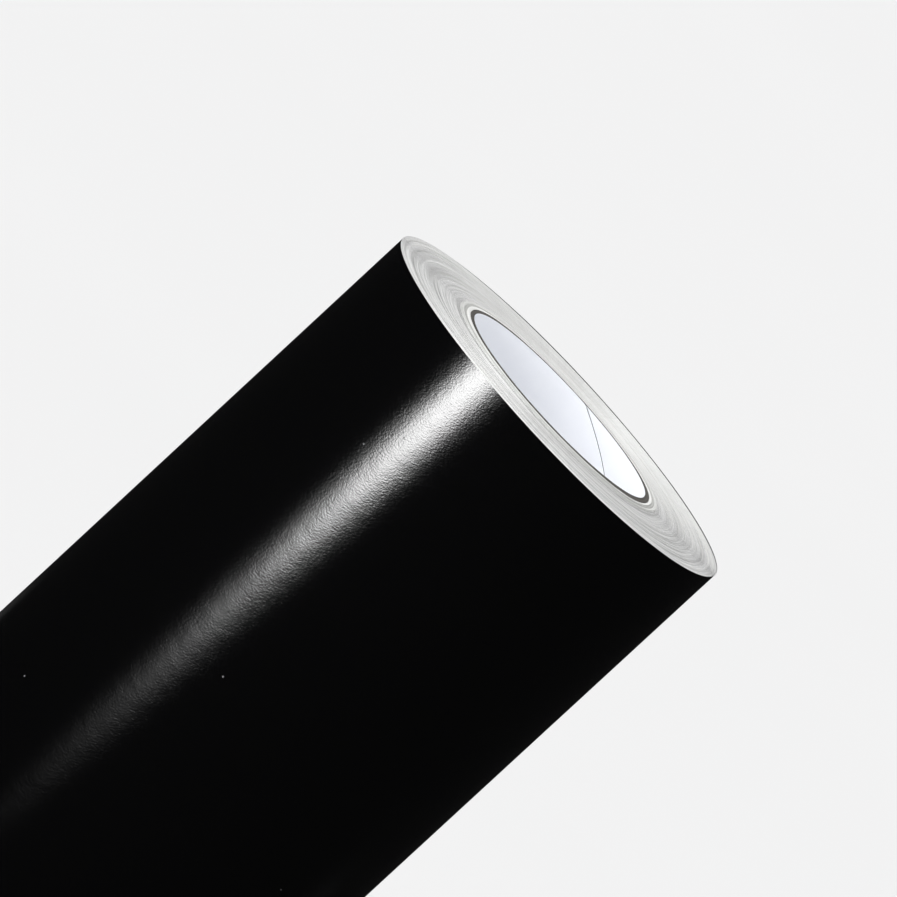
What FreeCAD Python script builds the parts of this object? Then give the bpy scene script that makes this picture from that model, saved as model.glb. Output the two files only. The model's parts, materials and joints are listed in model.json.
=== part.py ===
import os

import FreeCAD, Part
import Sketcher

# Roll of black self-adhesive sign vinyl on its release liner, wound on a spiral-ply paper core.
# The roll stands on end: +Z runs along the core, the origin is the centre of the bottom end.
#
# Angles in a turn are counted anticlockwise from the seam line, where the last turn begins and
# where its free edge ends. A turn grows outwards by one web thickness, so each turn is two half
# circles, about two centres a quarter of a web thickness either side of Z: the first half of every
# turn is about the centre away from the seam line, and the second half about the one towards it.

DIMENSIONS = [
    # name, millimetres or degrees, meaning
    ("bore_radius", 38.1, "inside of the core, a 3 inch core"),
    ("inner_ply", 0.6, "white-faced ply that lines the bore"),
    ("brown_ply", 1.2, "brown-grey board ply"),
    ("white_ply", 1.2, "bleached board ply"),
    ("grey_ply", 1.15, "each of the two grey board plies"),
    ("cover_ply", 0.3, "grey paper ply that the web is wound on"),
    ("core_radius", 43.7, "outside of the core"),
    ("core_length", 610.4, "core, cut a little longer than the web"),
    ("web_width", 609.6, "24 inch web"),
    ("liner", 0.12, "silicone-coated paper liner"),
    ("film", 0.09, "vinyl film with its coat of adhesive"),
    ("web", 0.21, "one turn: liner and film"),
    ("roll_radius", 70.5, "outside of the last turn"),
    ("step_radius", 66.6, "where the web wandered sideways while it was wound"),
    ("wander", 0.35, "how far the outer turns stand above the inner ones"),
    ("film_set_back", 0.25, "how far the last turn of film stays behind its liner's edge"),
    ("film_lip", 0.25, "how far the film of the tail stands past its liner's edge"),
    ("start_tape", 0.1, "thickness of the tape that holds the web's first edge to the core"),
    ("start_tape_span", 66.0, "degrees of the core that the start tape covers"),
    ("start_tape_length", 560.0, "start tape along the core"),
    ("seam_angle", 140.0, "degrees from +X to the seam line"),
    ("tail_start", 240.0, "degrees into the last turn where the lifted tail bends"),
    ("peel_start", 300.0, "degrees into the last turn where the peeled film bends"),
    ("tail_clearance", 0.1, "loose tail above the turn below it"),
    ("hinge_gap", 0.05, "degrees left open at each bend line"),
    ("tape", 0.06, "thickness of the clear tape that holds the tail down"),
    ("tape_width", 24.0, "each strip of tape along the roll"),
    ("tape_span", 21.0, "degrees of tape either side of the tail's edge"),
    ("lower_tape_height", 152.0, "middle of the lower strip"),
    ("upper_tape_height", 458.0, "middle of the upper strip"),
]

doc = FreeCAD.newDocument("vinyl_roll")
sheet = doc.addObject("Spreadsheet::Sheet", "dims")
for row, (name, value, meaning) in enumerate(DIMENSIONS, start=1):
    sheet.set(f"A{row}", name)
    sheet.set(f"B{row}", str(value))
    sheet.set(f"C{row}", meaning)
    sheet.setAlias(f"B{row}", name)
doc.recompute()

WHOLE_TURN = "360"
HALF_TURN = "180"


def dim(text):
    """Write each driving dimension in a formula as a cell of the sheet."""
    names = {name for name, _, _ in DIMENSIONS}
    words = text.replace("(", "( ").replace(")", " )").split()
    return " ".join(f"dims.{word}" if word in names else word for word in words)


def origin_plane(body, role):
    return next(f for f in body.Origin.OriginFeatures if f.Role == role)


def new_body(label):
    body = doc.addObject("PartDesign::Body", label)
    body.Label = label
    return body


def hold(sketch, line, kind, formula, value):
    """Hold the start of a line at a distance from the sketch's origin, along one of its axes."""
    if value == 0:
        other_axis = -2 if kind == "DistanceX" else -1
        sketch.addConstraint(Sketcher.Constraint("PointOnObject", line, 1, other_axis))
        return
    number = sketch.addConstraint(Sketcher.Constraint(kind, -1, 1, line, 1, value))
    sketch.setExpression(f"Constraints[{number}]", formula)


def profile(body, name, sections, centre="0", mirrored=False):
    """A sketch in the body's XZ plane of stacked rectangles, drawn as one closed outline.

    sections is a list of (inner radius, outer radius, bottom, top) from the axis outwards, each
    touching the next. Radii are counted from a centre on the body's X axis, to the other side of
    it when mirrored is true.
    """
    sketch = body.newObject("Sketcher::SketchObject", name)
    sketch.AttachmentSupport = [(origin_plane(body, "XZ_Plane"), "")]
    sketch.MapMode = "FlatFace"
    sketch.setExpression(".AttachmentOffset.Base.x", dim(centre))
    lower = []
    upper = []
    for inner, outer, bottom, top in sections:
        lower += [(inner, bottom), (outer, bottom)]
        upper += [(inner, top), (outer, top)]
    outline = lower + upper[::-1]
    count = len(outline)
    corners = []
    points = []
    for across, height in outline:
        across = dim(f"-( {across} )" if mirrored else across)
        height = dim(height)
        corners.append((across, height))
        points.append(FreeCAD.Vector(sketch.evalExpression(across), sketch.evalExpression(height), 0))
    for index in range(count):
        sketch.addGeometry(Part.LineSegment(points[index], points[(index + 1) % count]), False)
    for index in range(count):
        sketch.addConstraint(Sketcher.Constraint("Coincident", index, 2, (index + 1) % count, 1))
        hold(sketch, index, "DistanceX", corners[index][0], points[index].x)
        hold(sketch, index, "DistanceY", corners[index][1], points[index].y)
    return sketch


def turn(body, sketch, degrees, kind="PartDesign::Revolution"):
    """Turn a profile anticlockwise about its own vertical axis."""
    feature = body.newObject(kind, sketch.Name + "_turn")
    feature.Profile = sketch
    feature.ReferenceAxis = (sketch, ["V_Axis"])
    feature.setExpression("Angle", dim(degrees))
    doc.recompute()
    return feature


def place(body, angle="0", centre="0"):
    """Turn the body about Z so that its X axis is angle into a turn, about a centre on the seam line."""
    body.setExpression(".Placement.Rotation.Angle", dim(f"seam_angle + {angle}"))
    body.setExpression(".Placement.Base.x", dim(f"( {centre} ) * cos( seam_angle )"))
    body.setExpression(".Placement.Base.y", dim(f"( {centre} ) * sin( seam_angle )"))


def strip(label, section, start, span, centre):
    """A curved strip: one rectangle turned through span degrees from start, about a centre."""
    body = new_body(label)
    turn(body, profile(body, f"{label}_section", [section]), span)
    place(body, start, centre)
    return body


def core_ply(label, inner, thickness):
    body = new_body(label)
    section = (inner, f"{inner} + {thickness}", "0", "core_length")
    turn(body, profile(body, f"{label}_section", [section]), WHOLE_TURN)
    return body


# The two centres that the half turns are struck from, and radii counted from them
FIRST_CENTRE = "-1 * web / 4"
SECOND_CENTRE = "web / 4"
FIRST_HALF_RADIUS = "roll_radius - 1.5 * web"
SECOND_HALF_RADIUS = "roll_radius - web"
LINER_HEIGHTS = ("wander", "web_width + wander")
LAST_FILM_HEIGHTS = ("wander - film_set_back", "web_width + wander - film_set_back")
TAIL_FILM_HEIGHTS = ("wander + film_lip", "web_width + wander + film_lip")


# Core: white inner ply, brown board, bleached board, two grey boards, cover ply
ply_start = "bore_radius"
for label, thickness in [
    ("core_inner_ply", "inner_ply"),
    ("core_brown_ply", "brown_ply"),
    ("core_white_ply", "white_ply"),
    ("core_grey_ply_1", "grey_ply"),
    ("core_grey_ply_2", "grey_ply"),
    ("core_cover_ply", "cover_ply"),
]:
    core_ply(label, ply_start, thickness)
    ply_start = f"{ply_start} + {thickness}"

# Tape that holds the first edge of the web to the core
strip(
    "start_tape",
    (
        "core_radius",
        "core_radius + start_tape",
        "web_width / 2 - start_tape_length / 2",
        "web_width / 2 + start_tape_length / 2",
    ),
    "0",
    "start_tape_span",
    "0",
)

# Wound web: every turn but the last, with the outer turns standing above the inner ones
wound_web = new_body("wound_web")
for half, radius, centre, mirrored in (
    ("first", FIRST_HALF_RADIUS, FIRST_CENTRE, False),
    ("second", SECOND_HALF_RADIUS, SECOND_CENTRE, True),
):
    bands = [("0", "step_radius", "0", "web_width"), ("step_radius", radius, *LINER_HEIGHTS)]
    turn(wound_web, profile(wound_web, f"web_{half}_half", bands, centre, mirrored), HALF_TURN)
solid_web = wound_web.Shape.Volume
core_hole = profile(wound_web, "core_hole", [("0", "core_radius", "0", "core_length")])
turn(wound_web, core_hole, WHOLE_TURN, "PartDesign::Groove")
hollow_web = wound_web.Shape.Volume
tape_recess = profile(
    wound_web,
    "tape_recess",
    [
        (
            "core_radius - 0.5",
            "core_radius + start_tape",
            "web_width / 2 - start_tape_length / 2",
            "web_width / 2 + start_tape_length / 2",
        )
    ],
)
turn(wound_web, tape_recess, "start_tape_span", "PartDesign::Groove")
finished_web = wound_web.Shape.Volume
place(wound_web)

# The last turn, up to the line where its tail lifts: liner with the film on it
for label, inner, thickness, heights in (
    ("last_turn_liner", "0", "liner", LINER_HEIGHTS),
    ("last_turn_film", "liner", "film", LAST_FILM_HEIGHTS),
):
    body = new_body(label)
    for half, radius, centre, mirrored, span in (
        ("first", FIRST_HALF_RADIUS, FIRST_CENTRE, False, HALF_TURN),
        ("second", SECOND_HALF_RADIUS, SECOND_CENTRE, True, "tail_start - 180 - hinge_gap"),
    ):
        section = (f"{radius} + {inner}", f"{radius} + {inner} + {thickness}", *heights)
        turn(body, profile(body, f"{label}_{half}_half", [section], centre, mirrored), span)
    place(body)

# The tail: liner to the free edge, film to the line where it peels, and the film that peels
tail_radius = f"{SECOND_HALF_RADIUS} + tail_clearance"
film_radius = f"{tail_radius} + liner"
peel_radius = f"{film_radius} + tail_clearance"
strip(
    "tail_liner",
    (tail_radius, f"{tail_radius} + liner", *LINER_HEIGHTS),
    "tail_start",
    "360 - tail_start",
    SECOND_CENTRE,
)
strip(
    "tail_film",
    (film_radius, f"{film_radius} + film", *TAIL_FILM_HEIGHTS),
    "tail_start",
    "peel_start - tail_start - hinge_gap",
    SECOND_CENTRE,
)
strip(
    "peel_film",
    (peel_radius, f"{peel_radius} + film", *TAIL_FILM_HEIGHTS),
    "peel_start",
    "360 - peel_start",
    SECOND_CENTRE,
)

# Two strips of clear tape over the tail's edge: half on the film, half on the turn beyond it.
# The loose half keeps the level of the stuck half, so it starts level with it across the edge.
anchor_radius = f"{peel_radius} + film"
flap_radius = f"{anchor_radius} + web / 2"
for side in ("lower", "upper"):
    middle = f"{side}_tape_height"
    heights = (f"{middle} - tape_width / 2", f"{middle} + tape_width / 2")
    strip(
        f"{side}_tape_anchor",
        (anchor_radius, f"{anchor_radius} + tape", *heights),
        "360 - tape_span",
        "tape_span - hinge_gap",
        SECOND_CENTRE,
    )
    strip(
        f"{side}_tape_flap",
        (flap_radius, f"{flap_radius} + tape", *heights),
        "0",
        "tape_span",
        FIRST_CENTRE,
    )

doc.recompute()

# Nothing is written unless the whole document is sound
for item in doc.Objects:
    faults = {"Invalid", "Error"} & set(item.State)
    if faults:
        raise RuntimeError(f"{item.Label}: {sorted(faults)}")
bodies = [item for item in doc.Objects if item.TypeId == "PartDesign::Body"]
for body in bodies:
    if body.Shape.isNull() or not body.Shape.isValid() or not body.Shape.Solids:
        raise RuntimeError(f"{body.Label} has no valid solid")
if not finished_web < hollow_web < solid_web:
    raise RuntimeError("the core hole or the tape recess cut nothing")

os.makedirs("parts", exist_ok=True)
for body in bodies:
    body.Shape.exportStep(f"parts/{body.Label}.step")
    box = body.Shape.BoundBox
    print(
        f"{body.Label}: {body.Shape.Volume:.1f} mm3,"
        f" x {box.XMin:.3f} {box.XMax:.3f}, y {box.YMin:.3f} {box.YMax:.3f}, z {box.ZMin:.3f} {box.ZMax:.3f}"
    )
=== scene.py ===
import json
import math

import bpy
import numpy as np
from mathutils import Matrix, Vector

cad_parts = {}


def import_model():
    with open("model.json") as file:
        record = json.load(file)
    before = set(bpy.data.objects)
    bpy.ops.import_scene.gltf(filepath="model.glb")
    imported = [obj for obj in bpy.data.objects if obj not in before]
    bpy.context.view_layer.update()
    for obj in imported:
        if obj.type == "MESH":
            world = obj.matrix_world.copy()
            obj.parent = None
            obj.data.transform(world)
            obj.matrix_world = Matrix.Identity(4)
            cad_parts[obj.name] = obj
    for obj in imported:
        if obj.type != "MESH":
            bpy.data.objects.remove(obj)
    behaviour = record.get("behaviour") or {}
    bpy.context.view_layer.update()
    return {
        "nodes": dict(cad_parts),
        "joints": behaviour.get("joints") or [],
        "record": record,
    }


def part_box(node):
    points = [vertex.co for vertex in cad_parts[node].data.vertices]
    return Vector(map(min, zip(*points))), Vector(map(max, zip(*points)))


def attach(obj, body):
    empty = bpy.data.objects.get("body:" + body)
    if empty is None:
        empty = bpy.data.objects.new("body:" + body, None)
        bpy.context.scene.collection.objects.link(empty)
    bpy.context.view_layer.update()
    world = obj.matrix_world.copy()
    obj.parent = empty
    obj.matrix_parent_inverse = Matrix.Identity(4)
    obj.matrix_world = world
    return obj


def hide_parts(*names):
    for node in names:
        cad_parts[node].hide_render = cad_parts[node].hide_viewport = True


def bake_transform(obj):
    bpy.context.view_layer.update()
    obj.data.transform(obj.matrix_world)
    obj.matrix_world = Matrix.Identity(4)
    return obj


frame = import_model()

# ---------------------------------------------------------------- sizes, in metres

MM = 0.001
TURN = 2 * math.pi
MOUNTS = {mount["name"]: mount for mount in frame["record"]["mounts"]}
JOINTS = {joint["name"]: joint for joint in frame["joints"]}

BORE_RADIUS = MOUNTS["core_bore"]["dims"]["r_mm"] * MM
CORE_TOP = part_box("core_inner_ply")[1][2]
WEB_TOP = 609.6 * MM
WEB_BOTTOM = 0.0


def outer_radius(node):
    low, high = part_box(node)
    return (high[0] - low[0]) / 2


def angle_of(point):
    return math.atan2(point[1], point[0])


# Bend lines of the tail and of the peeled film, and the tail's free edge, as angles about Z
TAIL_ANGLE = angle_of(JOINTS["tail_lift"]["pos_m"])
PEEL_ANGLE = angle_of(JOINTS["film_peel"]["pos_m"])
SEAM_ANGLE = angle_of(JOINTS["lower_tape_lift"]["pos_m"])

CORE_RADIUS = outer_radius("core_cover_ply")
PITCH = 0.21 * MM
FILM = 0.07 * MM
LINER = 0.132 * MM
STEP_RADIUS = 66.6 * MM
WANDER = 0.35 * MM
FILM_LIP = 0.25 * MM
ROLL_RADIUS = 70.5 * MM
LAST_TURN_RADIUS = ROLL_RADIUS - 1.25 * PITCH
TURNS = (LAST_TURN_RADIUS - CORE_RADIUS) / PITCH

RANDOM = np.random.default_rng(7)

# ---------------------------------------------------------------- mesh helpers


def make_object(name, vertices, faces, materials, face_materials=None, smooth=True):
    mesh = bpy.data.meshes.new(name)
    mesh.from_pydata(np.asarray(vertices, float).tolist(), [], [list(map(int, f)) for f in faces])
    for material in materials:
        mesh.materials.append(material)
    if face_materials is not None:
        mesh.polygons.foreach_set("material_index", np.asarray(face_materials, np.int32))
    mesh.polygons.foreach_set("use_smooth", np.full(len(mesh.polygons), smooth))
    mesh.update()
    obj = bpy.data.objects.new(name, mesh)
    bpy.context.scene.collection.objects.link(obj)
    return obj


def swept_faces(stations, corners, closed):
    """Quads between neighbouring stations of a section with that many corners, without end caps."""
    last = stations if closed else stations - 1
    near = np.arange(last)[:, None] * corners
    far = ((np.arange(last) + 1) % stations)[:, None] * corners
    corner = np.arange(corners)[None, :]
    following = (corner + 1) % corners
    quads = np.stack([near + corner, far + corner, far + following, near + following], axis=2)
    return quads.reshape(-1, 4)


def strip_caps(count, rows):
    """Quads across both ends of a strip whose sections run up its inside and down its outside."""
    corners = 2 * rows
    caps = []
    for base, flip in ((0, True), ((count - 1) * corners, False)):
        for row in range(rows - 1):
            quad = (base + row, base + row + 1, base + corners - 2 - row, base + corners - 1 - row)
            caps.append(quad[::-1] if flip else quad)
    return caps


def ring_of_sections(angles, radii, heights):
    """Points at each angle for a section given as radii and heights, one row for each angle."""
    count = len(angles)
    radii = np.broadcast_to(radii, (count, np.shape(radii)[-1]))
    heights = np.broadcast_to(heights, (count, np.shape(heights)[-1]))
    x = radii * np.cos(angles)[:, None]
    y = radii * np.sin(angles)[:, None]
    return np.stack([x, y, heights], axis=2).reshape(-1, 3)


def smooth_noise(count, knots, rng, closed=False):
    """count values that pass smoothly through that many random ones between -1 and 1."""
    values = rng.uniform(-1, 1, knots)
    if closed:
        values[-1] = values[0]
    place = np.linspace(0, knots - 1, count)
    low = np.minimum(place.astype(int), knots - 2)
    share = place - low
    share = share * share * (3 - 2 * share)
    return values[low] * (1 - share) + values[low + 1] * share


# ---------------------------------------------------------------- material helpers


class Nodes:
    """A short way to write a node tree."""

    def __init__(self, tree):
        self.tree = tree
        tree.nodes.clear()

    def add(self, kind, inputs=None, **settings):
        node = self.tree.nodes.new(kind)
        for name, value in settings.items():
            setattr(node, name, value)
        for name, value in (inputs or {}).items():
            if isinstance(value, bpy.types.NodeSocket):
                self.tree.links.new(value, node.inputs[name])
            else:
                node.inputs[name].default_value = value
        return node

    def math(self, operation, first, second=0.0):
        return self.add("ShaderNodeMath", {0: first, 1: second}, operation=operation).outputs[0]

    def mixed(self, first, second, share):
        """first and second added up, second with that share and first with the rest."""
        parts = (self.math("MULTIPLY", first, 1.0 - share), self.math("MULTIPLY", second, share))
        return self.math("ADD", *parts)

    def noise(self, vector, factors, detail=2.0, rough=0.5):
        """Noise with that many features to a metre in each direction."""
        inputs = {"Vector": self.scaled(vector, factors), "Scale": 1.0, "Detail": detail, "Roughness": rough}
        return self.add("ShaderNodeTexNoise", inputs).outputs["Fac"]

    def ramp(self, value, stops):
        node = self.add("ShaderNodeValToRGB", {"Fac": value})
        while len(node.color_ramp.elements) < len(stops):
            node.color_ramp.elements.new(0.5)
        for element, (place, colour) in zip(node.color_ramp.elements, stops):
            element.position = place
            element.color = (*colour, 1.0)
        return node.outputs["Color"]

    def stretch(self, value, from_low, from_high, to_low, to_high):
        inputs = {
            "Value": value,
            "From Min": from_low,
            "From Max": from_high,
            "To Min": to_low,
            "To Max": to_high,
        }
        return self.add("ShaderNodeMapRange", inputs).outputs["Result"]

    def scaled(self, vector, factors):
        return self.add("ShaderNodeMapping", {"Vector": vector, "Scale": factors}).outputs["Vector"]

    def bump(self, height, distance, strength=1.0, normal=None):
        inputs = {"Height": height, "Distance": distance, "Strength": strength}
        if normal is not None:
            inputs["Normal"] = normal
        return self.add("ShaderNodeBump", inputs).outputs["Normal"]


def new_material(name):
    material = bpy.data.materials.new(name)
    material.use_nodes = True
    return material, Nodes(material.node_tree)


def finish_material(nodes, inputs):
    shader = nodes.add("ShaderNodeBsdfPrincipled", inputs)
    nodes.add("ShaderNodeOutputMaterial", {"Surface": shader.outputs["BSDF"]})


def around_the_roll(nodes):
    """Object coordinates as (distance round the roll, height, radius), cut at the seam line."""
    place = nodes.add("ShaderNodeTexCoord").outputs["Object"]
    turned = nodes.add(
        "ShaderNodeVectorRotate", {"Vector": place, "Angle": math.pi - SEAM_ANGLE}, rotation_type="Z_AXIS"
    ).outputs["Vector"]
    parts = nodes.add("ShaderNodeSeparateXYZ", {"Vector": turned}).outputs
    angle = nodes.math("ARCTAN2", parts["Y"], parts["X"])
    flat = nodes.add("ShaderNodeCombineXYZ", {"X": parts["X"], "Y": parts["Y"]}).outputs["Vector"]
    radius = nodes.add("ShaderNodeVectorMath", {0: flat}, operation="LENGTH").outputs["Value"]
    distance = nodes.math("MULTIPLY", angle, ROLL_RADIUS)
    return nodes.add("ShaderNodeCombineXYZ", {"X": distance, "Y": parts["Z"], "Z": radius}).outputs["Vector"]


# ---------------------------------------------------------------- materials


def film_material():
    """Black vinyl: satin, with fine orange peel that is drawn out aslant, and a little dust."""
    material, nodes = new_material("black_film")
    place = around_the_roll(nodes)
    turn = (0, 0, math.radians(-25))
    slanted = nodes.add("ShaderNodeMapping", {"Vector": place, "Rotation": turn}).outputs["Vector"]
    streaks = nodes.noise(slanted, (850, 2400, 0), detail=2.0, rough=0.6)
    peel = nodes.noise(place, (1250, 1850, 0), detail=2.0, rough=0.6)
    swell = nodes.noise(place, (110, 160, 0), detail=2.0)
    cells = {"Vector": nodes.scaled(place, (85, 85, 0)), "Scale": 1.0, "Randomness": 1.0}
    dust_cells = nodes.add("ShaderNodeTexVoronoi", cells)
    cell_value = nodes.add("ShaderNodeSeparateColor", {"Color": dust_cells.outputs["Color"]}).outputs[0]
    speck_size = nodes.math("MULTIPLY", cell_value, 0.028)
    specks = nodes.math("LESS_THAN", dust_cells.outputs["Distance"], speck_size)
    colour = nodes.add(
        "ShaderNodeMix",
        {"Factor": specks, "A": (0.0009, 0.0009, 0.0010, 1.0), "B": (0.12, 0.12, 0.125, 1.0)},
        data_type="RGBA",
    )
    rough = nodes.stretch(peel, 0.3, 0.7, 0.09, 0.115)
    streaked = nodes.bump(streaks, 0.026 * MM)
    grained = nodes.bump(peel, 0.038 * MM, normal=streaked)
    normal = nodes.bump(swell, 0.06 * MM, normal=grained)
    finish_material(
        nodes,
        {
            "Base Color": colour.outputs["Result"],
            "Roughness": rough,
            "Normal": normal,
            "Specular IOR Level": 0.9,
        },
    )
    return material


def edge_material(name, low, high, rough, turn_scale, specular=0.3, grooved=0.0):
    """The cut edges of a wound sheet: the tone differs from turn to turn and along a turn, partly at random
    and partly as painted shade of the grooves between turns.

    grooved is how strongly the shine is drawn out across the turns, as it is on a record.
    """
    material, nodes = new_material(name)
    place = around_the_roll(nodes)
    # darker turns here partly paint the shade in the grooves between turns
    turn_tone_and_shade = nodes.noise(place, (9, 0, turn_scale), detail=1.0, rough=0.6)
    fibre = nodes.noise(place, (400, 400, 9000), detail=2.0)
    rays = nodes.noise(place, (800, 0, 40), detail=2.0)
    marks = nodes.math("ADD", nodes.math("MULTIPLY", fibre, 0.2), nodes.math("MULTIPLY", rays, 0.2))
    both = nodes.math("ADD", nodes.math("MULTIPLY", turn_tone_and_shade, 0.6), marks)
    inputs = {
        "Base Color": nodes.ramp(both, [(0.32, low), (0.68, high)]),
        "Roughness": rough,
        "Normal": nodes.bump(fibre, 0.02 * MM, 0.4),
        "Specular IOR Level": specular,
    }
    if grooved:
        tangent = nodes.add("ShaderNodeTangent", direction_type="RADIAL", axis="Z")
        inputs["Tangent"] = tangent.outputs["Tangent"]
        inputs["Anisotropic"] = grooved
        inputs["Anisotropic Rotation"] = 0.25
        inputs["IOR"] = 2.3
    finish_material(nodes, inputs)
    return material


def board_material(name, low, high):
    """Paper board seen on its cut end: layered fibre."""
    material, nodes = new_material(name)
    place = around_the_roll(nodes)
    layers = nodes.noise(place, (40, 40, 5200), detail=3.0, rough=0.6)
    fibre = nodes.noise(place, (900, 900, 2600), detail=3.0)
    both = nodes.mixed(layers, fibre, 0.4)
    finish_material(
        nodes,
        {
            "Base Color": nodes.ramp(both, [(0.32, low), (0.68, high)]),
            "Roughness": 0.85,
            "Normal": nodes.bump(both, 0.08 * MM, 0.6),
            "Specular IOR Level": 0.2,
        },
    )
    return material


def paper_material(name, low, high):
    """Smooth white paper, with the faint cloudiness of its pulp."""
    material, nodes = new_material(name)
    place = around_the_roll(nodes)
    clouds = nodes.noise(place, (90, 90, 0), detail=3.0)
    fibre = nodes.noise(place, (1500, 900, 0), detail=3.0)
    both = nodes.mixed(clouds, fibre, 0.4)
    finish_material(
        nodes,
        {
            "Base Color": nodes.ramp(both, [(0.3, low), (0.7, high)]),
            "Roughness": 0.55,
            "Normal": nodes.bump(fibre, 0.01 * MM, 0.4),
            "Specular IOR Level": 0.3,
        },
    )
    return material


def tape_material():
    """Frosted clear tape."""
    material, nodes = new_material("clear_tape")
    place = around_the_roll(nodes)
    haze = nodes.noise(place, (500, 500, 0), detail=3.0)
    finish_material(
        nodes,
        {
            "Base Color": nodes.ramp(haze, [(0.3, (0.55, 0.55, 0.53)), (0.7, (0.68, 0.68, 0.66))]),
            "Roughness": nodes.stretch(haze, 0.3, 0.7, 0.28, 0.36),
            "Normal": nodes.bump(haze, 0.02 * MM, 0.4),
            "Alpha": 0.14,
        },
    )
    return material


FILM_BLACK = film_material()
FILM_EDGE = edge_material("film_edge", (0.02, 0.02, 0.021), (0.06, 0.06, 0.061), 0.5, 1500)
# The liner's edges are darker than white paper: their low tone paints the shade of the film edges and grooves
# between the turns.
LINER_EDGE_AND_SHADE = edge_material(
    "liner_edge_and_shade", (0.27, 0.27, 0.27), (0.81, 0.81, 0.81), 0.6, 1150, specular=1.0, grooved=0.8
)
LINER_PAPER = paper_material("liner_paper", (0.78, 0.78, 0.76), (0.85, 0.85, 0.83))
INNER_PAPER = paper_material("white_paper", (0.885, 0.9, 0.945), (0.915, 0.93, 0.965))
# The brown board is near black: partly the board's own colour and partly painted shade at the bore's rim, on
# the brown ply, the white ply's cut ends and the seam.
BROWN_BOARD_AND_SHADE = board_material("brown_board", (0.032, 0.03, 0.027), (0.1, 0.093, 0.085))
WHITE_BOARD = board_material("white_board", (0.54, 0.54, 0.53), (0.72, 0.72, 0.71))
GREY_BOARD = board_material("grey_board", (0.22, 0.222, 0.21), (0.46, 0.462, 0.45))
COVER_PAPER = board_material("cover_paper", (0.38, 0.382, 0.37), (0.62, 0.622, 0.61))
CLEAR_TAPE = tape_material()

# ---------------------------------------------------------------- the core

CORE_SEGMENTS = 288
BEVEL = 0.06 * MM
WEAR = 0.05 * MM


def board_ply(node, inner, outer, material, sink, slope):
    """A tube of board whose cut end is a little rough.

    inner and outer are its radii, one for each angle round the core. sink is how far its end
    is below the core's, and slope how much further down it is at its inner edge.
    """
    angles = np.linspace(0, TURN, CORE_SEGMENTS, endpoint=False)
    shares = np.linspace(0, 1, 5)
    across = inner[:, None] + BEVEL + (outer - inner - 2 * BEVEL)[:, None] * shares
    sides = [inner[:, None], across, outer[:, None]]
    radii = np.concatenate(sides + [part[:, ::-1] for part in reversed(sides)], axis=1)
    top = CORE_TOP - sink
    end = np.concatenate([[BEVEL + slope], slope * (1 - shares), [BEVEL]])
    heights = np.tile(np.concatenate([top - end, end[::-1]]), (CORE_SEGMENTS, 1))
    for column in range(len(end)):
        heights[:, column] -= WEAR * 0.5 * (1 + smooth_noise(CORE_SEGMENTS, 49, RANDOM, closed=True))
    vertices = ring_of_sections(angles, radii, heights)
    faces = swept_faces(CORE_SEGMENTS, radii.shape[1], closed=True)
    obj = make_object(f"{node}_tube", vertices, faces, [material])
    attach(obj, "roll")
    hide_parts(node)


def seamed_wall():
    """The bore's wall: one strip wound in a helix, with a fine open seam between its turns.

    Returns its points, its faces, and for each face 1 in the seam and 0 elsewhere.
    """
    lead = 100 * MM
    half_gap = 0.11 * MM
    seam_depth = 0.25 * MM
    segments = 240
    # the seam meets the top end at this angle and goes down clockwise
    seam_at_top = math.radians(82)
    turns = math.ceil(CORE_TOP / lead) + 2
    stations = turns * segments + 1
    angles = seam_at_top + np.arange(stations) / segments * TURN
    low_edge = CORE_TOP - turns * lead + (angles - seam_at_top) / TURN * lead
    lip = half_gap + 0.12 * MM
    flat = lip + 0.1 * MM
    half_across = np.array([0, half_gap, lip, flat, lead / 4])
    across = np.concatenate([half_across, [lead / 2], lead - half_across[::-1]])
    depth = np.where((across < lip) | (across > lead - lip), seam_depth, 0)
    heights = np.clip(low_edge[:, None] + across, 0, CORE_TOP)
    radii = np.broadcast_to(BORE_RADIUS + depth, heights.shape)
    vertices = ring_of_sections(angles, radii, heights)
    columns = len(across)
    shown = np.diff(heights, axis=1) > 1e-9
    faces = []
    kinds = []
    for column in range(columns - 1):
        open_here = shown[:-1, column] | shown[1:, column]
        for station in np.nonzero(open_here)[0]:
            corner = station * columns + column
            faces.append((corner, corner + 1, corner + columns + 1, corner + columns))
            # seam faces take the near-black brown board, partly the board under the seam and partly painted
            # shade in it
            kinds.append(1 if column in (0, columns - 2) else 0)
    return vertices, faces, kinds


def inner_ply():
    """The white-faced ply: the bore's wall, the two cut ends and the hidden outside."""
    vertices, faces, kinds = seamed_wall()
    outer = outer_radius("core_inner_ply")
    ring = np.linspace(0, TURN, CORE_SEGMENTS, endpoint=False)
    section_radii = np.concatenate([np.linspace(BORE_RADIUS, outer, 4), np.linspace(outer, BORE_RADIUS, 4)])
    section_heights = np.concatenate([np.full(4, CORE_TOP), np.zeros(4)])
    shell = ring_of_sections(ring, section_radii, section_heights)
    shell_faces = swept_faces(CORE_SEGMENTS, len(section_radii), closed=True)
    # the section's last side lies on the bore, where the wall is
    outward = np.arange(len(shell_faces)) % len(section_radii) != len(section_radii) - 1
    shell_faces = shell_faces[outward] + len(vertices)
    # the cut ends and the seam take the near-black brown board, partly the board's colour and partly painted
    # shade at the bore's rim
    obj = make_object(
        "core_inner_ply_strip",
        np.vstack([vertices, shell]),
        faces + shell_faces.tolist(),
        [INNER_PAPER, BROWN_BOARD_AND_SHADE],
        kinds + [1] * len(shell_faces),
    )
    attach(obj, "roll")
    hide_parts("core_inner_ply")


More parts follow.
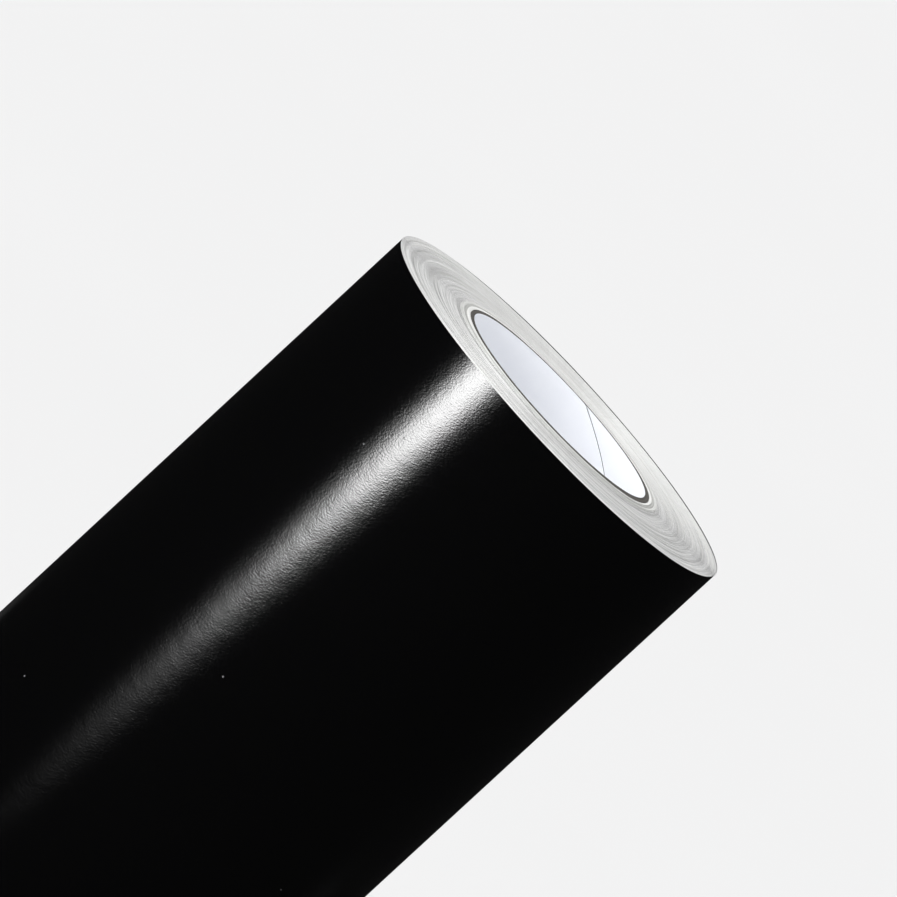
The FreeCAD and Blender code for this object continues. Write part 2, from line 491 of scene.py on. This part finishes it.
def brown_and_shade_boundary(mean):
    """The brown ply's outer radius, wider or narrower round the core: its dark ring is partly the board and
    partly painted shade at the bore's rim.
    """
    degrees = [0, 60, 140, 175, 205, 240, 285, 330]
    past_mean = np.array([0.15, -0.1, 0.2, -0.1, -0.75, -0.7, -0.45, 0.35]) * MM
    angles = np.linspace(0, 360, CORE_SEGMENTS, endpoint=False)
    change = np.interp(angles, degrees, past_mean, period=360)
    kernel = np.hanning(25) / np.hanning(25).sum()
    smoothed = np.convolve(np.tile(change, 3), kernel, "same")
    return mean + smoothed[CORE_SEGMENTS : 2 * CORE_SEGMENTS]


inner_ply()
ply_inner = np.full(CORE_SEGMENTS, outer_radius("core_inner_ply"))
for node, material, slot, sink, slope in (
    ("core_brown_ply", BROWN_BOARD_AND_SHADE, "brown_board", 0.0, 0.06 * MM),
    ("core_white_ply", WHITE_BOARD, "white_board", 0.0, 0.24 * MM),
    ("core_grey_ply_1", GREY_BOARD, "grey_board", 0.12 * MM, 0.24 * MM),
    ("core_grey_ply_2", COVER_PAPER, "grey_board", 0.02 * MM, 0.24 * MM),
    ("core_cover_ply", COVER_PAPER, "grey_board", 0.1 * MM, 0.1 * MM),
):
    ply_outer = np.full(CORE_SEGMENTS, outer_radius(node))
    if node == "core_brown_ply":
        ply_outer = brown_and_shade_boundary(ply_outer)
    board_ply(node, ply_inner, ply_outer, material, sink, slope)
    ply_inner = ply_outer
start_tape = frame["nodes"]["start_tape"].data
start_tape.materials.clear()
start_tape.materials.append(CLEAR_TAPE)

# ---------------------------------------------------------------- the wound web

TURN_SEGMENTS = 144


def web_offsets(stations):
    """How far the web has slid up along the axis at each station, never below the roll's foot."""
    turns = np.arange(stations) / TURN_SEGMENTS
    radius = CORE_RADIUS + turns * PITCH
    slow = 0.5 + 0.5 * smooth_noise(stations, 60, RANDOM)
    quick = 0.5 + 0.5 * smooth_noise(stations, 500, RANDOM)
    jumps = np.clip(smooth_noise(stations, 300, RANDOM) - 0.55, 0, 1) * 4
    shift = 0.05 * MM * slow + 0.03 * MM * quick - 0.12 * MM * jumps
    step = np.clip((radius - STEP_RADIUS) / (1.5 * PITCH), 0, 1)
    # on one side of the roll the outer turns have slid up by themselves, on the other with all the rest
    by_step = 0.5 - 0.5 * np.sin(SEAM_ANGLE + turns * TURN)
    evenly = (radius - CORE_RADIUS) / (LAST_TURN_RADIUS - CORE_RADIUS)
    shift = shift + WANDER * (by_step * step * step * (3 - 2 * step) + (1 - by_step) * evenly)
    # the first turns were wound with their edge near the end of the core
    shift = shift + 0.2 * MM * np.clip(1 - turns / 6, 0, 1)
    return np.maximum(shift, 0)


def wound_sheet(name, inner, thickness, offsets, recess, materials):
    """One sheet of the web through all its turns but the last, as a thin closed ribbon.

    inner is how far its inside is from the web's, and recess how much its edges are set back.
    """
    stations = len(offsets)
    turns = np.arange(stations) / TURN_SEGMENTS
    angles = SEAM_ANGLE + turns * TURN
    radius = CORE_RADIUS + 0.004 * MM + turns * PITCH + inner
    radii = np.stack([radius, radius, radius + thickness, radius + thickness], axis=1)
    top = WEB_TOP + offsets - recess
    bottom = WEB_BOTTOM + offsets + recess
    heights = np.stack([bottom, top, top, bottom], axis=1)
    vertices = ring_of_sections(angles, radii, heights)
    faces = swept_faces(stations, 4, closed=False)
    kinds = np.tile([0, 1, 0, 1], stations - 1)
    end = (stations - 1) * 4
    caps = [(3, 2, 1, 0), (end, end + 1, end + 2, end + 3)]
    obj = make_object(
        name, vertices, faces.tolist() + caps, materials, np.concatenate([kinds, [1, 1]]), smooth=False
    )
    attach(obj, "roll")
    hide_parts("wound_web")


LINER_FACES = [LINER_PAPER, LINER_EDGE_AND_SHADE]
FILM_FACES = [FILM_BLACK, FILM_EDGE]
FILM_FROM_LINER = 0.003 * MM

stations = int(TURNS * TURN_SEGMENTS)
offsets = web_offsets(stations)
station_radius = CORE_RADIUS + np.arange(stations) / TURN_SEGMENTS * PITCH
outer_band = np.clip((station_radius - STEP_RADIUS) / PITCH, 0, 1)
film_recess = 0.012 * MM * (1 + smooth_noise(stations, 500, RANDOM))
film_recess = film_recess + 0.01 * MM + 0.05 * MM * outer_band
wound_sheet("wound_liner", 0, LINER, offsets, 0.0, LINER_FACES)
wound_sheet("wound_film", LINER + FILM_FROM_LINER, FILM, offsets, film_recess, FILM_FACES)

# ---------------------------------------------------------------- the last turn and the tail


def strip_section(radius, thickness, up):
    """Radii and heights for a strip: up its inside and down its outside at each angle."""
    inside = np.repeat(radius[:, None], len(up), axis=1)
    radii = np.concatenate([inside, inside + thickness], axis=1)
    heights = np.tile(np.concatenate([up, up[::-1]]), (len(radius), 1))
    return radii, heights


def at(angle, radius=ROLL_RADIUS, height=0.3):
    return (radius * math.cos(angle), radius * math.sin(angle), height)


def turned_to(angle, after):
    """The same direction as angle, as a number from after to a whole turn beyond it."""
    return after + (angle - after) % TURN


tail_start = turned_to(TAIL_ANGLE, SEAM_ANGLE)
peel_start = turned_to(PEEL_ANGLE, tail_start)
tail_end = SEAM_ANGLE + TURN
liner_inner = LAST_TURN_RADIUS + 0.006 * MM
film_inner = liner_inner + LINER + FILM_FROM_LINER
# how far the last turn's film has slid up past its liner, at these angles
FILM_SHIFT = np.array([0.05 * MM, 0.05 * MM, 0.1 * MM, 0.1 * MM, FILM_LIP, FILM_LIP, 0.05 * MM])
FILM_SHIFT_ANGLES = np.radians([140.0, 190.0, 250.0, 325.0, 380.0, 470.0, 500.0])
SHEET_STEPS = 720
SHEET_ROWS = 25
LAP = math.radians(0.05)


def sheet_piece(name, is_film, start, end):
    """Part of the last turn's film or liner, as a closed shell that is fine enough to bend."""
    count = int(round((end - start) / TURN * SHEET_STEPS))
    angles = np.linspace(start, end, count)
    inner, thickness = (film_inner, FILM) if is_film else (liner_inner, LINER)
    radius = inner + PITCH * (angles - SEAM_ANGLE) / TURN
    up = np.linspace(WEB_BOTTOM + WANDER, WEB_TOP + WANDER, SHEET_ROWS)
    radii, heights = strip_section(radius, thickness, up)
    if is_film:
        heights = heights + np.interp(angles, FILM_SHIFT_ANGLES, FILM_SHIFT)[:, None]
    faces = swept_faces(count, 2 * SHEET_ROWS, closed=False).tolist()
    caps = strip_caps(count, SHEET_ROWS)
    kinds = np.tile([0] * (SHEET_ROWS - 1) + [1] + [0] * (SHEET_ROWS - 1) + [1], count - 1)
    kinds = np.concatenate([kinds, np.ones(len(caps), int)])
    materials = FILM_FACES if is_film else LINER_FACES
    vertices = ring_of_sections(angles, radii, heights)
    obj = make_object(f"{name}_sheet", vertices, faces + caps, materials, kinds, smooth=False)
    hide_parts(name)
    return obj


last_liner = sheet_piece("last_turn_liner", False, SEAM_ANGLE, tail_start)
last_film = sheet_piece("last_turn_film", True, SEAM_ANGLE, tail_start + LAP)
tail_liner = sheet_piece("tail_liner", False, tail_start, tail_end)
tail_film = sheet_piece("tail_film", True, tail_start, peel_start + LAP)
peel_film = sheet_piece("peel_film", True, peel_start, tail_end)
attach(last_liner, "roll")
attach(last_film, "roll")
for obj in (tail_liner, tail_film):
    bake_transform(obj)
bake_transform(peel_film)

# ---------------------------------------------------------------- tape


TAPE_REACH = math.radians(21)
TAPE_THICKNESS = 0.06 * MM
TAPE_STEPS = 90
TAPE_ROWS = 13


def tape_strip(side):
    """A strip of tape from the tail's film down over its edge to the turn below."""
    low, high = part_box(f"{side}_tape_anchor")
    angles = np.linspace(tail_end - TAPE_REACH, tail_end + TAPE_REACH, TAPE_STEPS)
    past = (angles - tail_end) / TAPE_REACH
    drop = np.clip(past * 14, 0, 1)
    drop = PITCH * drop * drop * (3 - 2 * drop)
    radius = film_inner + FILM + 0.01 * MM + PITCH * (angles - SEAM_ANGLE) / TURN - drop
    up = np.linspace(low[2], high[2], TAPE_ROWS)
    radii, heights = strip_section(radius, TAPE_THICKNESS, up)
    faces = swept_faces(TAPE_STEPS, 2 * TAPE_ROWS, closed=False).tolist()
    faces += strip_caps(TAPE_STEPS, TAPE_ROWS)
    obj = make_object(f"{side}_tape_strip", ring_of_sections(angles, radii, heights), faces, [CLEAR_TAPE])
    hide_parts(f"{side}_tape_anchor", f"{side}_tape_flap")
    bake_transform(obj)


for side in ("lower", "upper"):
    tape_strip(side)

# ---------------------------------------------------------------- camera

ELEVATION = math.radians(9.44)
ROLL = math.radians(47.256)
DISTANCE = 6.1234
# how far the end face's centre lies to the right of the camera's axis, and above it
FACE_RIGHT = 33.88 * MM
FACE_ABOVE = 12.89 * MM

camera_data = bpy.data.cameras.new("camera")
camera_data.sensor_width = 36.0
camera_data.lens = 800.0  # seen from far off, so the roll's sides run nearly parallel
camera_data.clip_start = 0.1
camera_data.clip_end = 60.0
camera = bpy.data.objects.new("camera", camera_data)
bpy.context.scene.collection.objects.link(camera)
bpy.context.scene.camera = camera
forward = Vector((0, math.cos(ELEVATION), -math.sin(ELEVATION)))
level_right = Vector((1, 0, 0))
level_up = Vector((0, math.sin(ELEVATION), math.cos(ELEVATION)))
right = level_right * math.cos(ROLL) + level_up * math.sin(ROLL)
up = level_up * math.cos(ROLL) - level_right * math.sin(ROLL)
face_centre = Vector((0, 0, WEB_TOP + WANDER))
camera_place = face_centre - forward * DISTANCE - right * FACE_RIGHT - up * FACE_ABOVE
camera_turn = Matrix((right, up, -forward)).transposed().to_4x4()
camera.matrix_world = Matrix.Translation(camera_place) @ camera_turn

# ---------------------------------------------------------------- floor and light

PALE = 0.896  # the ground behind the roll


def floor():
    material, nodes = new_material("floor")
    place = nodes.add("ShaderNodeTexCoord").outputs["Object"]
    mottle = nodes.noise(place, (3, 3, 3), detail=2.0)
    finish_material(
        nodes,
        {
            "Base Color": nodes.ramp(mottle, [(0.2, (0.627, 0.627, 0.629)), (0.8, (0.633, 0.633, 0.635))]),
            "Roughness": 0.9,
            "Specular IOR Level": 0.0,
        },
    )
    half = 40.0
    corners = [(-half, -half, 0), (half, -half, 0), (half, half, 0), (-half, half, 0)]
    obj = make_object("floor", corners, [(0, 1, 2, 3)], [material], smooth=False)
    obj.visible_glossy = False


def strip_light(name, azimuth, on_surface, distance, height, size, power, tilt=0.0):
    """A tall lamp whose glow is even in the middle and fades to its sides and its ends.

    azimuth is the way it lies from the place on the roll that it faces, at angle on_surface.
    """
    width, tall = size
    side_fade = 0.147
    even_half = 0.065
    target = Vector(at(math.radians(on_surface), height=height))
    place = target + Vector(at(math.radians(azimuth), distance, 0))
    data = bpy.data.lights.new(name, "AREA")
    data.shape = "RECTANGLE"
    data.size = width
    data.size_y = tall
    data.energy = power
    obj = bpy.data.objects.new(name, data)
    bpy.context.scene.collection.objects.link(obj)
    facing = (target - place).to_track_quat("-Z", "Y").to_matrix().to_4x4()
    obj.matrix_world = Matrix.Translation(place) @ facing @ Matrix.Rotation(tilt, 4, "Z")
    obj.visible_camera = False
    data.use_nodes = True
    nodes = Nodes(data.node_tree)
    parametric = nodes.add("ShaderNodeNewGeometry").outputs["Parametric"]
    parts = nodes.add("ShaderNodeSeparateXYZ", {"Vector": parametric}).outputs
    aside = nodes.math("DIVIDE", nodes.math("SUBTRACT", parts["X"], 0.5), side_fade)
    sides = nodes.math("MULTIPLY", nodes.math("MULTIPLY", aside, aside), 0.5)
    along = nodes.math("ABSOLUTE", nodes.math("SUBTRACT", parts["Y"], 0.5))
    past_even = nodes.math("SUBTRACT", nodes.math("MULTIPLY", along, tall), even_half)
    beyond = nodes.math("MAXIMUM", past_even, 0.0)
    ends = nodes.math("MULTIPLY", beyond, nodes.math("ADD", nodes.math("MULTIPLY", beyond, 40.0), 26.0))
    fade = nodes.math("EXPONENT", nodes.math("MULTIPLY", nodes.math("ADD", sides, ends), -1.0))
    glow = nodes.math("MINIMUM", nodes.math("MULTIPLY", fade, 1.65), 1.0)
    emission = nodes.add("ShaderNodeEmission", {"Strength": glow})
    nodes.add("ShaderNodeOutputLight", {"Surface": emission.outputs["Emission"]})


def far_light(name, azimuth, elevation, strength, width):
    """A wide light so far off that it falls evenly on the roll and the floor."""
    data = bpy.data.lights.new(name, "SUN")
    data.energy = strength
    data.angle = math.radians(width)
    obj = bpy.data.objects.new(name, data)
    bpy.context.scene.collection.objects.link(obj)
    turned = math.radians(azimuth)
    raised = math.radians(elevation)
    towards = Vector(
        (math.cos(raised) * math.cos(turned), math.cos(raised) * math.sin(turned), math.sin(raised))
    )
    obj.rotation_euler = towards.to_track_quat("Z", "Y").to_euler()


def world():
    """Soft white surroundings that mirror as a dark room below eye level and a pale one above."""
    scene_world = bpy.data.worlds.new("studio")
    scene_world.use_nodes = True
    bpy.context.scene.world = scene_world
    nodes = Nodes(scene_world.node_tree)
    path = nodes.add("ShaderNodeLightPath").outputs
    direction = nodes.add("ShaderNodeTexCoord").outputs["Generated"]
    height = nodes.add("ShaderNodeSeparateXYZ", {"Vector": direction}).outputs["Z"]
    mirror_strength = nodes.stretch(height, 0.0, 0.12, 0.008, 0.8)
    soft = nodes.add("ShaderNodeBackground", {"Color": (1.0, 1.0, 1.0, 1.0), "Strength": 1.0})
    seen = nodes.add("ShaderNodeBackground", {"Color": (PALE, PALE, PALE, 1.0), "Strength": 1.0})
    mirrored = nodes.add("ShaderNodeBackground", {"Color": (1.0, 1.0, 1.0, 1.0), "Strength": mirror_strength})
    with_gloss = nodes.add(
        "ShaderNodeMixShader", {0: path["Is Glossy Ray"], 1: soft.outputs[0], 2: mirrored.outputs[0]}
    )
    with_camera = nodes.add(
        "ShaderNodeMixShader", {0: path["Is Camera Ray"], 1: with_gloss.outputs[0], 2: seen.outputs[0]}
    )
    nodes.add("ShaderNodeOutputWorld", {"Surface": with_camera.outputs[0]})


floor()
world()
far_light("key", azimuth=195, elevation=60, strength=1.5, width=23)
strip_light(
    "front_strip", azimuth=232.9, on_surface=252.0, distance=0.35, height=0.60, size=(0.22, 0.5), power=4.95,
    tilt=math.radians(-8),
)
strip_light(
    "back_strip", azimuth=115, on_surface=115, distance=0.5, height=0.10, size=(0.3, 0.5), power=3.0,
)
strip_light(
    "side_strip", azimuth=25, on_surface=25, distance=0.5, height=0.10, size=(0.3, 0.5), power=3.0,
)
bpy.context.scene.view_settings.view_transform = "Standard"
